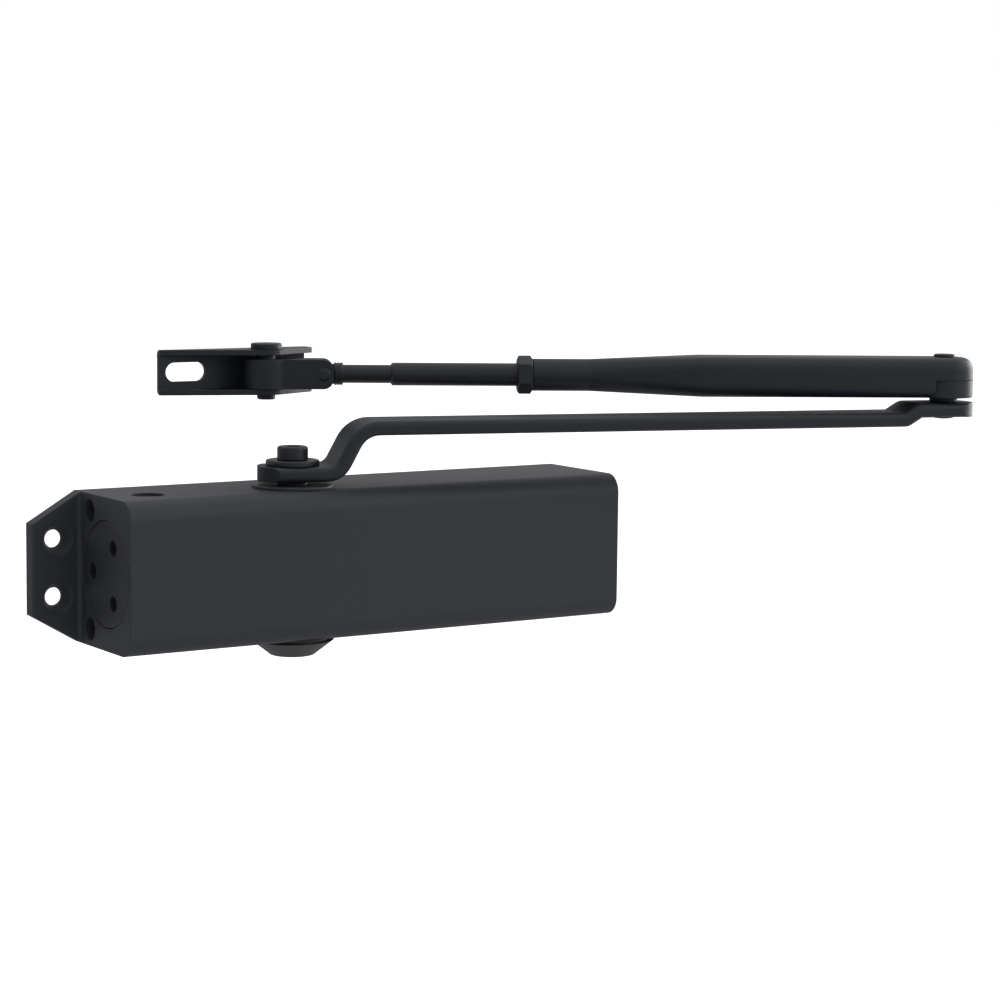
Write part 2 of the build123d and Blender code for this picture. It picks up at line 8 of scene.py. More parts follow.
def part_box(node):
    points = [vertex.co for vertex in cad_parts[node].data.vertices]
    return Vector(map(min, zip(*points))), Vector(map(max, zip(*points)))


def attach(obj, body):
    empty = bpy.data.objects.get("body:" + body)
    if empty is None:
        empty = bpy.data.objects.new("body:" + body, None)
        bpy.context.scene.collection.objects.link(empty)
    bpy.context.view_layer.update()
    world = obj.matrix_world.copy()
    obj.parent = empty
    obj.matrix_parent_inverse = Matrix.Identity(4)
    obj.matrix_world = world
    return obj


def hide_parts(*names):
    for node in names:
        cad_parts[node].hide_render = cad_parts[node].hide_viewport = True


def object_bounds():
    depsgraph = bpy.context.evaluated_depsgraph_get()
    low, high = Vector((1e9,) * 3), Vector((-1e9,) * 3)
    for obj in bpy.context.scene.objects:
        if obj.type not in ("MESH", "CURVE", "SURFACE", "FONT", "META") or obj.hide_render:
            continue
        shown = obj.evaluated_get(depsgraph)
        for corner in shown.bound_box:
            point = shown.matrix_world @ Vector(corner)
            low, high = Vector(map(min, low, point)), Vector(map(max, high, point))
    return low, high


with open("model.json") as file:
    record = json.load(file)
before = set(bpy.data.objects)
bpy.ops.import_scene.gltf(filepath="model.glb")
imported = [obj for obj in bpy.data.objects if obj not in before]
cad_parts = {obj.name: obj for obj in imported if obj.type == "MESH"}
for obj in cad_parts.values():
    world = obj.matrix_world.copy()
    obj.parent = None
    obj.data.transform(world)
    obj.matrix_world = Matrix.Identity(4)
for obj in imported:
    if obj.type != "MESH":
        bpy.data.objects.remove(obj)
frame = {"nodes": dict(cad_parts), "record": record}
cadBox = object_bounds()
record = frame["record"]
joints = {joint["name"]: joint for joint in record["behaviour"]["joints"]}
mm = 0.001
print("frame loaded:", len(frame["nodes"]), "nodes")


def nodeMiddle(node):
    low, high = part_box(node)
    return (Vector(low) + Vector(high)) / 2


def nodeSize(node):
    low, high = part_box(node)
    return Vector(high) - Vector(low)


# Lines that everything is placed on, taken from the joints and the boxes
spindleAt = Vector(joints["spindle_turn"]["pos_m"])
elbowAt = Vector(joints["elbow_turn"]["pos_m"])
shoeAt = Vector(joints["shoe_swivel"]["pos_m"])
rodLine = Vector(joints["rod_slide"]["axis"])
tiltAt = Vector(joints["rod_end_tilt"]["pos_m"])
forearmTurn = Matrix.Rotation(atan2(rodLine.y, rodLine.x), 4, "Z")
# brings the Z axis of a turned piece to +X
layAlongX = Matrix(((0, 0, 1, 0), (1, 0, 0, 0), (0, 1, 0, 0), (0, 0, 0, 1)))


# shader helpers and the shared effects

def addNode(tree, kind, at, **values):
    node = tree.nodes.new(kind)
    node.location = at
    for name, value in values.items():
        if hasattr(node, name):
            setattr(node, name, value)
        else:
            node.inputs[name.replace("_", " ")].default_value = value
    return node


def link(tree, *pairs):
    for out, into in pairs:
        tree.links.new(out, into)


def newGroup(name, inputs, outputs):
    group = bpy.data.node_groups.new(name, "ShaderNodeTree")
    for label, kind, value in inputs:
        socket = group.interface.new_socket(label, in_out="INPUT", socket_type="NodeSocket" + kind)
        if value is not None:
            socket.default_value = value
    for label, kind in outputs:
        group.interface.new_socket(label, in_out="OUTPUT", socket_type="NodeSocket" + kind)
    start = group.nodes.new("NodeGroupInput")
    end = group.nodes.new("NodeGroupOutput")
    start.location, end.location = (-900, 0), (700, 0)
    return group, start, end


def buildCoatSkin():
    # powder coat: the slow waves of orange peel with a fine sand grain on them
    inputs = [("Peel Scale", "Float", 380.0), ("Grain Scale", "Float", 2600.0), ("Grain Share", "Float", 0.3)]
    group, start, end = newGroup("coatSkin", inputs, [("Height", "Float"), ("Mottle", "Float")])
    place = addNode(group, "ShaderNodeTexCoord", (-900, 250))
    peel = addNode(group, "ShaderNodeTexNoise", (-600, 250), Detail=2.0, Roughness=0.4)
    grain = addNode(group, "ShaderNodeTexNoise", (-600, 0), Detail=3.0, Roughness=0.65)
    patches = addNode(group, "ShaderNodeTexNoise", (-600, -250), Scale=26.0, Detail=5.0, Roughness=0.55)
    blend = addNode(group, "ShaderNodeMix", (-200, 150), data_type="FLOAT")
    for noise in (peel, grain, patches):
        link(group, (place.outputs["Object"], noise.inputs["Vector"]))
    link(group, (start.outputs["Peel Scale"], peel.inputs["Scale"]),
         (start.outputs["Grain Scale"], grain.inputs["Scale"]),
         (start.outputs["Grain Share"], blend.inputs["Factor"]),
         (peel.outputs["Fac"], blend.inputs["A"]), (grain.outputs["Fac"], blend.inputs["B"]),
         (blend.outputs["Result"], end.inputs["Height"]), (patches.outputs["Fac"], end.inputs["Mottle"]))
    return group


def buildEdgeTrace():
    # a mask along sharp corners, broken up by noise, and the normal that rounds those corners; the paler
    # colour it lays on corners is partly wear and partly a painted highlight
    inputs = [("Radius", "Float", 0.0006), ("Breakup Scale", "Float", 240.0)]
    group, start, end = newGroup("edgeTrace", inputs, [("Mask", "Float"), ("Normal", "Vector")])
    place = addNode(group, "ShaderNodeTexCoord", (-900, -250))
    rounded = addNode(group, "ShaderNodeBevel", (-650, 150), samples=6)
    surface = addNode(group, "ShaderNodeNewGeometry", (-650, -50))
    meet = addNode(group, "ShaderNodeVectorMath", (-400, 100), operation="DOT_PRODUCT")
    rim = addNode(group, "ShaderNodeMapRange", (-200, 100))
    rim.inputs["From Min"].default_value, rim.inputs["From Max"].default_value = 0.995, 0.86
    noise = addNode(group, "ShaderNodeTexNoise", (-650, -300), Detail=4.0, Roughness=0.7)
    broken = addNode(group, "ShaderNodeMapRange", (-200, -200))
    broken.inputs["From Min"].default_value, broken.inputs["From Max"].default_value = 0.36, 0.62
    both = addNode(group, "ShaderNodeMath", (100, 0), operation="MULTIPLY")
    link(group, (start.outputs["Radius"], rounded.inputs["Radius"]),
         (rounded.outputs["Normal"], meet.inputs[0]), (surface.outputs["Normal"], meet.inputs[1]),
         (meet.outputs["Value"], rim.inputs["Value"]), (place.outputs["Object"], noise.inputs["Vector"]),
         (start.outputs["Breakup Scale"], noise.inputs["Scale"]),
         (noise.outputs["Fac"], broken.inputs["Value"]), (rim.outputs["Result"], both.inputs[0]),
         (broken.outputs["Result"], both.inputs[1]), (both.outputs["Value"], end.inputs["Mask"]),
         (rounded.outputs["Normal"], end.inputs["Normal"]))
    return group


def buildSettledDust():
    # thin dust on faces that look up
    group, start, end = newGroup("settledDust", [("Scale", "Float", 90.0)], [("Mask", "Float")])
    place = addNode(group, "ShaderNodeTexCoord", (-900, -150))
    surface = addNode(group, "ShaderNodeNewGeometry", (-900, 200))
    upward = addNode(group, "ShaderNodeSeparateXYZ", (-650, 200))
    lies = addNode(group, "ShaderNodeMapRange", (-400, 200))
    lies.inputs["From Min"].default_value, lies.inputs["From Max"].default_value = 0.35, 1.0
    specks = addNode(group, "ShaderNodeTexNoise", (-650, -100), Detail=6.0, Roughness=0.72)
    thin = addNode(group, "ShaderNodeMapRange", (-400, -100))
    thin.inputs["From Min"].default_value, thin.inputs["From Max"].default_value = 0.38, 0.75
    both = addNode(group, "ShaderNodeMath", (-100, 50), operation="MULTIPLY")
    link(group, (surface.outputs["Normal"], upward.inputs[0]), (upward.outputs["Z"], lies.inputs["Value"]),
         (place.outputs["Object"], specks.inputs["Vector"]), (start.outputs["Scale"], specks.inputs["Scale"]),
         (specks.outputs["Fac"], thin.inputs["Value"]), (lies.outputs["Result"], both.inputs[0]),
         (thin.outputs["Result"], both.inputs[1]), (both.outputs["Value"], end.inputs["Mask"]))
    return group


def buildTurnedRings():
    # lathe marks round the Z axis of the vector it is given, of uneven depth
    inputs = [("Vector", "Vector", None), ("Rings Scale", "Float", 420.0)]
    group, start, end = newGroup("turnedRings", inputs, [("Height", "Float")])
    rings = addNode(group, "ShaderNodeTexWave", (-500, 150), wave_type="RINGS", rings_direction="Z",
                    Distortion=0.6, Detail=2.0, Detail_Scale=3.0)
    uneven = addNode(group, "ShaderNodeTexNoise", (-500, -150), Scale=300.0, Detail=2.0)
    both = addNode(group, "ShaderNodeMath", (-150, 50), operation="MULTIPLY")
    link(group, (start.outputs["Vector"], rings.inputs["Vector"]),
         (start.outputs["Rings Scale"], rings.inputs["Scale"]),
         (start.outputs["Vector"], uneven.inputs["Vector"]), (rings.outputs["Fac"], both.inputs[0]),
         (uneven.outputs["Fac"], both.inputs[1]), (both.outputs["Value"], end.inputs["Height"]))
    return group


shared = {"coatSkin": buildCoatSkin(), "edgeTrace": buildEdgeTrace(), "settledDust": buildSettledDust(),
          "turnedRings": buildTurnedRings()}
print("shared effects built:", len(shared))


# materials

def useGroup(tree, name, at, **values):
    node = tree.nodes.new("ShaderNodeGroup")
    node.node_tree = shared[name]
    node.location = at
    for label, value in values.items():
        node.inputs[label.replace("_", " ")].default_value = value
    return node


def mixColours(tree, at, mask, under, over):
    mix = addNode(tree, "ShaderNodeMix", at, data_type="RGBA")
    mix.inputs[7].default_value = (*over, 1.0)
    if isinstance(under, tuple):
        mix.inputs[6].default_value = (*under, 1.0)
    else:
        tree.links.new(under, mix.inputs[6])
    tree.links.new(mask, mix.inputs[0])
    return mix.outputs[2]


def scaled(tree, at, value, amount):
    times = addNode(tree, "ShaderNodeMath", at, operation="MULTIPLY")
    times.inputs[1].default_value = amount
    tree.links.new(value, times.inputs[0])
    return times.outputs["Value"]


def roughnessRange(tree, at, mask, low, high):
    spread = addNode(tree, "ShaderNodeMapRange", at)
    spread.inputs["To Min"].default_value, spread.inputs["To Max"].default_value = low, high
    tree.links.new(mask, spread.inputs["Value"])
    return spread.outputs["Result"]


def freshMaterial(name):
    material = bpy.data.materials.new(name)
    material.use_nodes = True
    tree = material.node_tree
    shader = tree.nodes["Principled BSDF"]
    return material, tree, shader


dustLook = {"scale": 70.0, "colour": (0.30, 0.29, 0.28)}


def useEdge(tree, look):
    return useGroup(tree, "edgeTrace", (-900, -50), Radius=look["edgeRadius"],
                    Breakup_Scale=look["edgeBreakupScale"])


def setRoughness(tree, shader, mask, look):
    level = roughnessRange(tree, (-300, 0), mask, *look["roughness"])
    link(tree, (level, shader.inputs["Roughness"]))


def powderCoat(name, look):
    # black powder coat: mottled colour, peel and grain in the surface, paler corners that are partly wear and
    # partly a painted edge highlight, a little dust
    material, tree, shader = freshMaterial(name)
    skin = useGroup(tree, "coatSkin", (-900, 200), Peel_Scale=look["peelScale"],
                    Grain_Scale=look["grainScale"], Grain_Share=look["grainShare"])
    edge = useEdge(tree, look)
    dust = useGroup(tree, "settledDust", (-900, -300), Scale=dustLook["scale"])
    colour = mixColours(tree, (-600, 250), skin.outputs["Mottle"], look["colour"], look["paler"])
    # paler corners: partly edge wear, partly a painted highlight along the edges
    colour = mixColours(tree, (-400, 250), scaled(tree, (-600, -50), edge.outputs["Mask"], look["wornAndLitEdgeShare"]),
                        colour, look["wornAndLitEdgeColour"])
    colour = mixColours(tree, (-200, 250), scaled(tree, (-600, -300), dust.outputs["Mask"], look["dust"]),
                        colour, dustLook["colour"])
    bump = addNode(tree, "ShaderNodeBump", (-350, -250), Strength=look["bump"], Distance=look["bumpDepth"])
    link(tree, (colour, shader.inputs["Base Color"]), (skin.outputs["Height"], bump.inputs["Height"]),
         (edge.outputs["Normal"], bump.inputs["Normal"]), (bump.outputs["Normal"], shader.inputs["Normal"]))
    setRoughness(tree, shader, skin.outputs["Mottle"], look)
    shader.inputs["Specular IOR Level"].default_value = look["specular"]
    return material


def turnedMetal(name, look, axisAt=None, axisTurn=(0, 0, 0)):
    # metal finished on a lathe; axisAt and axisTurn bring the piece's axis onto the rings' Z axis
    material, tree, shader = freshMaterial(name)
    place = addNode(tree, "ShaderNodeTexCoord", (-1300, 200))
    centre = addNode(tree, "ShaderNodeMapping", (-1100, 200), vector_type="TEXTURE")
    centre.inputs["Location"].default_value = axisAt or (0, 0, 0)
    centre.inputs["Rotation"].default_value = axisTurn
    rings = useGroup(tree, "turnedRings", (-900, 200), Rings_Scale=look["ringsScale"])
    edge = useEdge(tree, look)
    skin = useGroup(tree, "coatSkin", (-900, -300), Peel_Scale=500.0, Grain_Scale=3200.0, Grain_Share=0.6)
    height = addNode(tree, "ShaderNodeMath", (-600, 100), operation="ADD")
    colour = mixColours(tree, (-600, 300), skin.outputs["Mottle"], look["colour"], look["paler"])
    # paler corners: partly edge wear, partly a painted highlight along the edges
    colour = mixColours(tree, (-400, 300), scaled(tree, (-600, -50), edge.outputs["Mask"], look["wornAndLitEdgeShare"]),
                        colour, look["wornAndLitEdgeColour"])
    bump = addNode(tree, "ShaderNodeBump", (-350, -250), Strength=look["bump"], Distance=look["bumpDepth"])
    link(tree, (place.outputs["Object"], centre.inputs["Vector"]),
         (centre.outputs["Vector"], rings.inputs["Vector"]), (rings.outputs["Height"], height.inputs[0]),
         (scaled(tree, (-750, -300), skin.outputs["Height"], 0.4), height.inputs[1]),
         (height.outputs["Value"], bump.inputs["Height"]), (edge.outputs["Normal"], bump.inputs["Normal"]),
         (bump.outputs["Normal"], shader.inputs["Normal"]), (colour, shader.inputs["Base Color"]))
    setRoughness(tree, shader, skin.outputs["Mottle"], look)
    shader.inputs["Metallic"].default_value = look["metallic"]
    return material


def cutThread(material, look):
    # a rolled thread round the mapped Z axis, up to where the smooth stem begins
    tree = material.node_tree
    centre = next(node for node in tree.nodes if node.type == "MAPPING")
    bump = next(node for node in tree.nodes if node.type == "BUMP")
    split = addNode(tree, "ShaderNodeSeparateXYZ", (-1100, -500))
    around = addNode(tree, "ShaderNodeMath", (-900, -450), operation="ARCTAN2")
    turns = addNode(tree, "ShaderNodeMath", (-900, -650), operation="MULTIPLY_ADD")
    turns.inputs[1].default_value = 1 / (look["pitch"] * mm)
    tooth = addNode(tree, "ShaderNodeMath", (-700, -600), operation="PINGPONG")
    tooth.inputs[1].default_value = 0.5
    threaded = addNode(tree, "ShaderNodeMath", (-700, -800), operation="LESS_THAN")
    threaded.inputs[1].default_value = look["endsAt"] * mm
    cut = addNode(tree, "ShaderNodeMath", (-500, -650), operation="MULTIPLY")
    deep = addNode(tree, "ShaderNodeBump", (-550, -400), Strength=1.0, Distance=look["depth"] * mm)
    before = bump.inputs["Normal"].links[0].from_socket
    link(tree, (centre.outputs["Vector"], split.inputs[0]), (split.outputs["Y"], around.inputs[0]),
         (split.outputs["X"], around.inputs[1]), (split.outputs["Z"], turns.inputs[0]),
         (scaled(tree, (-900, -550), around.outputs["Value"], 0.5 / pi), turns.inputs[2]),
         (turns.outputs["Value"], tooth.inputs[0]), (split.outputs["Z"], threaded.inputs[0]),
         (tooth.outputs["Value"], cut.inputs[0]), (threaded.outputs["Value"], cut.inputs[1]),
         (cut.outputs["Value"], deep.inputs["Height"]), (before, deep.inputs["Normal"]),
         (deep.outputs["Normal"], bump.inputs["Normal"]))
    return material


def mouldedMaterial(name, look):
    # plastic or rubber: fine spark texture and slight colour clouds
    material, tree, shader = freshMaterial(name)
    skin = useGroup(tree, "coatSkin", (-900, 200), Peel_Scale=look["peelScale"],
                    Grain_Scale=look["grainScale"], Grain_Share=look["grainShare"])
    edge = useEdge(tree, look)
    colour = mixColours(tree, (-600, 250), skin.outputs["Mottle"], look["colour"], look["paler"])
    bump = addNode(tree, "ShaderNodeBump", (-350, -250), Strength=look["bump"], Distance=look["bumpDepth"])
    link(tree, (colour, shader.inputs["Base Color"]), (skin.outputs["Height"], bump.inputs["Height"]),
         (edge.outputs["Normal"], bump.inputs["Normal"]), (bump.outputs["Normal"], shader.inputs["Normal"]))
    setRoughness(tree, shader, skin.outputs["Mottle"], look)
    return material


# the corner colour and its share paint the edges paler: partly wear, partly a painted highlight
bodyCoatLook = {"colour": (0.0312, 0.0350, 0.0445), "paler": (0.0368, 0.0406, 0.0502),
                "wornAndLitEdgeColour": (0.060, 0.061, 0.063), "peelScale": 420.0, "grainScale": 2800.0,
                "grainShare": 0.35, "edgeRadius": 0.0007, "edgeBreakupScale": 220.0, "wornAndLitEdgeShare": 0.35, "dust": 0.015,
                "bump": 0.4, "bumpDepth": 0.00005, "roughness": (0.50, 0.60), "specular": 0.5}
armCoatLook = dict(bodyCoatLook, colour=(0.0135, 0.0180, 0.0270), paler=(0.0180, 0.0230, 0.0325),
                   peelScale=620.0, grainScale=3400.0, grainShare=0.28, edgeRadius=0.0005,
                   roughness=(0.44, 0.55))
plugCoatLook = {"colour": (0.0232, 0.0262, 0.0322), "paler": (0.0288, 0.0318, 0.0382),
                "wornAndLitEdgeColour": (0.055, 0.055, 0.056), "ringsScale": 520.0, "edgeRadius": 0.0005,
                "edgeBreakupScale": 320.0, "wornAndLitEdgeShare": 0.4, "bump": 0.35, "bumpDepth": 0.00006,
                "roughness": (0.42, 0.54), "metallic": 0.0}
blackSteelLook = dict(plugCoatLook, colour=(0.0160, 0.0182, 0.0232), paler=(0.0222, 0.0244, 0.0294),
                      edgeRadius=0.0004, ringsScale=640.0, roughness=(0.34, 0.48))
rivetSteelLook = dict(blackSteelLook, colour=(0.020, 0.023, 0.030), roughness=(0.16, 0.26))
brightSteelLook = dict(plugCoatLook, colour=(0.50, 0.50, 0.51), paler=(0.60, 0.60, 0.61),
                       wornAndLitEdgeColour=(0.72, 0.72, 0.72), roughness=(0.22, 0.34), metallic=1.0)
springSteelLook = dict(brightSteelLook, colour=(0.16, 0.165, 0.175), paler=(0.24, 0.24, 0.25),
                       roughness=(0.32, 0.46))
bronzeLook = dict(brightSteelLook, colour=(0.52, 0.34, 0.14), paler=(0.62, 0.43, 0.20),
                  wornAndLitEdgeColour=(0.75, 0.55, 0.28), roughness=(0.28, 0.42))
ironLook = dict(brightSteelLook, colour=(0.17, 0.17, 0.17), paler=(0.24, 0.24, 0.24), roughness=(0.40, 0.55))
capLook = {"colour": (0.0520, 0.0550, 0.0570), "paler": (0.0600, 0.0630, 0.0650), "peelScale": 800.0,
           "grainScale": 4200.0, "grainShare": 0.75, "edgeRadius": 0.0006, "edgeBreakupScale": 180.0, "bump": 0.4,
           "bumpDepth": 0.00008, "roughness": (0.46, 0.58)}
rubberLook = dict(capLook, colour=(0.012, 0.012, 0.012), paler=(0.018, 0.018, 0.018), roughness=(0.62, 0.78))

spindleLine = tuple(spindleAt)
cylinderLine = (0.0, nodeMiddle("end_plug_left").y, 0.0)
finishes = {
    "body_coat": powderCoat("bodyPowderCoat", bodyCoatLook),
    "arm_coat": powderCoat("armPowderCoat", armCoatLook),
    "plug_coat": turnedMetal("plugBlackFinish", plugCoatLook, cylinderLine, (0, pi / 2, 0)),
    "cap_plastic": mouldedMaterial("capMouldedPlastic", capLook),
    "black_steel": turnedMetal("blackenedSteel", blackSteelLook, spindleLine),
    "machined_steel": turnedMetal("oiledMachinedSteel", brightSteelLook, spindleLine),
    "spring_steel": turnedMetal("darkSpringWire", springSteelLook, cylinderLine, (0, pi / 2, 0)),
    "bearing_bronze": turnedMetal("bearingBronze", bronzeLook, spindleLine),
    "seal_rubber": mouldedMaterial("sealRubber", rubberLook),
    "ring_iron": turnedMetal("pistonRingIron", ironLook, cylinderLine, (0, pi / 2, 0)),
}
# the same finishes on pieces whose axis is not the slot's own
rodThread = {"pitch": 1.25, "depth": 0.5, "endsAt": 190.0}
rodEuler = tuple(rodLine.to_track_quat("Z", "Y").to_euler())
ownFinish = {
    "bearing_nut_top": turnedMetal("spindleNutBlackFinish", plugCoatLook, spindleLine),
    "adjusting_rod": cutThread(turnedMetal("rodBlackenedSteel", blackSteelLook, tuple(elbowAt), rodEuler),
                               rodThread),
}
for subpart in record["subparts"]:
    piece = frame["nodes"][subpart["node"]]
    finish = ownFinish.get(subpart["node"], finishes[subpart["material_slot"]])
    for materialSlot in piece.material_slots:
        materialSlot.link = "OBJECT"
        materialSlot.material = finish
print("finishes placed on", len(record["subparts"]), "carried-over nodes")


# mesh helpers for the new pieces

def keepPiece(name, mesh, slotName, body, place=Matrix(), instead=(), sharpAngle=32, material=None):
    bmesh.ops.remove_doubles(mesh, verts=mesh.verts, dist=0.000002)
    bmesh.ops.recalc_face_normals(mesh, faces=mesh.faces)
    bmesh.ops.transform(mesh, matrix=place, verts=mesh.verts)
    data = bpy.data.meshes.new(name)
    mesh.to_mesh(data)
    mesh.free()
    data.shade_smooth()
    data.set_sharp_from_angle(angle=radians(sharpAngle))
    piece = bpy.data.objects.new(name, data)
    bpy.context.scene.collection.objects.link(piece)
    data.materials.append(material or finishes[slotName])
    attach(piece, body)
    if instead:
        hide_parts(*instead)


def turnProfile(points, steps):
    # a profile of (radius, height) in millimetres, spun once round Z
    mesh = bmesh.new()
    verts = [mesh.verts.new((radius * mm, 0, height * mm)) for radius, height in points]
    edges = [mesh.edges.new(pair) for pair in zip(verts, verts[1:])]
    bmesh.ops.spin(mesh, geom=verts + edges, cent=(0, 0, 0), axis=(0, 0, 1), angle=2 * pi, steps=steps,
                   use_merge=True)
    bmesh.ops.remove_doubles(mesh, verts=mesh.verts, dist=0.000002)
    return mesh


def ringAt(mesh, radius, height):
    # the open loop of edges at one radius and height
    return [edge for edge in mesh.edges if edge.is_boundary and all(
        abs(vert.co.xy.length - radius * mm) < 0.00002 and abs(vert.co.z - height * mm) < 0.00002
        for vert in edge.verts)]


def hexReach(angle, across):
    # distance from the middle of a hexagon to its side in a direction
    return across / 2 / cos((angle + pi / 6) % (pi / 3) - pi / 6)


def pullLoop(mesh, loop, radiusOf, height):
    made = bmesh.ops.extrude_edge_only(mesh, edges=loop)["geom"]
    for vert in (item for item in made if isinstance(item, bmesh.types.BMVert)):
        angle = atan2(vert.co.y, vert.co.x)
        reach = radiusOf(angle) * mm
        vert.co = (reach * cos(angle), reach * sin(angle), height * mm)
    return [item for item in made if isinstance(item, bmesh.types.BMEdge)]


def sinkSocket(mesh, rim, across, top, depth):
    # hexagon socket with a chamfered mouth and the shallow cone of the drill at its floor
    loop = ringAt(mesh, rim, top)
    mouth = top - (rim - across / 2) * 0.5
    loop = pullLoop(mesh, loop, lambda angle: hexReach(angle, across), mouth)
    loop = pullLoop(mesh, loop, lambda angle: hexReach(angle, across), top - depth)
    loop = pullLoop(mesh, loop, lambda angle: across * 0.46, top - depth)
    loop = pullLoop(mesh, loop, lambda angle: across * 0.04, top - depth - across * 0.26)
    bmesh.ops.contextual_create(mesh, geom=loop)


def roundedCorner(radius, height, bend, steps=5):
    # quarter bend from the side of a head to its top
    angles = [step * pi / 2 / steps for step in range(steps + 1)]
    return [(radius - bend + bend * cos(angle), height - bend + bend * sin(angle)) for angle in angles]


def crown(radius, edge, rise, steps=6):
    # half of a shallow dome, from its edge to its top
    angles = [step * pi / 2 / steps for step in range(steps + 1)]
    return [(radius * cos(angle), edge + rise * sin(angle)) for angle in angles]


def upsideDown(profile, height):
    return [(radius, height - level) for radius, level in reversed(profile)]


def centredOn(at, height=0.0):
    return Matrix.Translation((at.x, at.y, height))


# arm screw with its hexagon socket, and the washer under it

screwLook = {"bend": 1.1, "shank": 2.95, "shankChamfer": 0.5, "headChamfer": 0.25, "socketAcross": 6.8,
             "socketDepth": 3.4, "socketRim": 4.15, "steps": 96}
low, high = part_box("arm_screw")
screwRadius = nodeSize("arm_screw").x / 2 / mm
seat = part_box("arm_washer")[1][2]


def makeArmScrew(look):
    top, tip = (high[2] - seat) / mm, (low[2] - seat) / mm
    shank, chamfer = look["shank"], look["shankChamfer"]
    profile = [(0, tip), (shank - chamfer, tip), (shank, tip + chamfer), (shank, 0),
               (screwRadius - look["headChamfer"], 0), (screwRadius, look["headChamfer"])]
    profile += roundedCorner(screwRadius, top, look["bend"])
    profile += [(look["socketRim"], top)]
    mesh = turnProfile(profile, look["steps"])
    sinkSocket(mesh, look["socketRim"], look["socketAcross"], top, look["socketDepth"])
    keepPiece("armScrewBody", mesh, "black_steel", "spindle", centredOn(spindleAt, seat), ["arm_screw"])


makeArmScrew(screwLook)


washerLook = {"bend": 0.75, "hole": 3.3, "holeChamfer": 0.25, "dish": 0.12, "dishPast": 0.5, "dishStep": 0.2,
              "steps": 112}


def makeArmWasher(look):
    radius = nodeSize("arm_washer").x / 2 / mm
    thickness = nodeSize("arm_washer").z / mm
    bend = look["bend"]
    hole, chamfer = look["hole"], look["holeChamfer"]
    dishEdge, floor = screwRadius + look["dishPast"], thickness - look["dish"]
    side = roundedCorner(radius, thickness, bend)
    profile = [(hole, chamfer), (hole + chamfer, 0)] + upsideDown(side, thickness) + side
    profile += [(dishEdge, thickness), (dishEdge - look["dishStep"], floor), (hole + chamfer, floor),
                (hole, thickness - 0.35), (hole, chamfer)]
    mesh = turnProfile(profile, look["steps"])
    place = centredOn(spindleAt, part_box("arm_washer")[0][2])
    keepPiece("armWasherDished", mesh, "black_steel", "spindle", place, ["arm_washer"])


makeArmWasher(washerLook)
print("arm screw and washer made")


# filler plug sunk in the top of the body

fillerLook = {"socketAcross": 7.0, "socketDepth": 4.6, "socketRim": 4.35, "threadPitch": 1.0,
              "threadDepth": 0.35, "steps": 84}


def makeFillerPlug(look):
    radius = nodeSize("filler_plug").x / 2 / mm
    height = nodeSize("filler_plug").z / mm
    profile = [(0, 0), (radius - 0.8, 0)]
    for turn in range(int((height - 1.4) / look["threadPitch"])):
        foot = 0.4 + turn * look["threadPitch"]
        profile += [(radius - look["threadDepth"], foot), (radius - 0.02, foot + look["threadPitch"] / 2)]
    profile += [(radius - look["threadDepth"], height - 0.7), (radius - look["threadDepth"], height - 0.35),
                (radius - 0.7, height), (look["socketRim"], height)]
    mesh = turnProfile(profile, look["steps"])
    sinkSocket(mesh, look["socketRim"], look["socketAcross"], height, look["socketDepth"])
    place = centredOn(nodeMiddle("filler_plug"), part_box("filler_plug")[0][2])
    keepPiece("fillerPlugBody", mesh, "black_steel", "body", place, ["filler_plug"])


makeFillerPlug(fillerLook)


# spindle cap: thin moulded cone with a gate mark on its tip

capShape = {"rim": 17.9, "neck": 15.5, "tip": 9.3, "gap": 1.5, "wall": 1.6, "tipBend": 2.2, "gateRadius": 1.3,
            "gateRise": 0.25, "steps": 128}


def makeSpindleCap(look):
    top = nodeSize("spindle_cap").z / mm
    rimHeight = top - look["gap"]
    slope = atan2(rimHeight, look["rim"] - look["tip"])
    bend, steps = look["tipBend"], 6
    centre = (look["tip"] - bend * tan(slope / 2), bend)
    tipEdge = [(centre[0] + bend * sin(slope * step / steps), centre[1] - bend * cos(slope * step / steps))
               for step in range(steps + 1)]
    gate, gateFoot = look["gateRadius"], 0.45
    profile = [(0, look["gateRise"]), (gate - 0.2, look["gateRise"]), (gate, gateFoot),
               (gate + 0.5, gateFoot), (gate + 1.0, 0.0)]
    profile += tipEdge + [(look["rim"] - 0.5, rimHeight - 0.45), (look["rim"], rimHeight - 0.1),
                          (look["rim"] - 0.35, rimHeight), (look["neck"] + 0.2, rimHeight),
                          (look["neck"], rimHeight + 0.2), (look["neck"], top),
                          (look["neck"] - look["wall"], top),
                          (look["neck"] - 2.4, rimHeight - 1.2), (look["tip"] - 1.4, 1.8), (0, 1.8)]
    mesh = turnProfile(profile, look["steps"])
    place = centredOn(spindleAt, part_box("spindle_cap")[0][2])
    keepPiece("spindleCapShell", mesh, "cap_plastic", "body", place, ["spindle_cap"])


makeSpindleCap(capShape)
print("filler plug and spindle cap made")


# lock nut with both faces chamfered

lockNutLook = {"across": 15.0, "length": 6.6, "turn": 6.0, "faceRadius": 7.45, "bevel": 30.0, "hole": 5.2,
               "holeChamfer": 0.5, "steps": 96}


